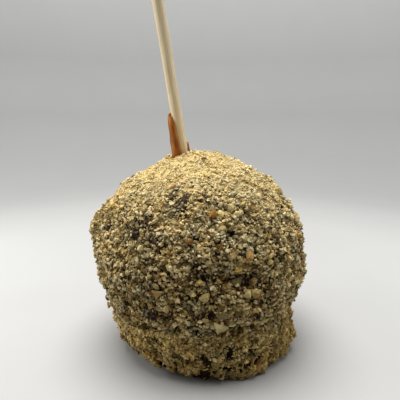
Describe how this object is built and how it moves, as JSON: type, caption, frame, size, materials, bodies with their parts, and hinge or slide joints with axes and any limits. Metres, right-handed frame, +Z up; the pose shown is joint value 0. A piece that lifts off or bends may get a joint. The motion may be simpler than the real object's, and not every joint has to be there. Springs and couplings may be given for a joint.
{
  "type": "caramel apple",
  "caption": "Dark caramel apple rolled in finely chopped peanuts, on a plain round wooden stick with an amber caramel film at its base.",
  "frame": {"origin": "centre of the flat foot that the apple stands on", "axes": "+Z up, front towards -Y, the stick leans towards -X and a little towards -Y"},
  "size_m": [0.0824, 0.0811, 0.1374],
  "materials": {
    "chopped_nut_coat": "dark caramel closely covered in chopped roasted peanuts, rough, edible",
    "stick_wood": "plain pale wood, lightly sanded",
    "set_caramel": "set amber caramel, glossy and slightly see-through, edible"
  },
  "bodies": {
    "root": {"coated_apple": "chopped_nut_coat", "stick": "stick_wood", "caramel_film": "set_caramel"}
  },
  "joints": []
}
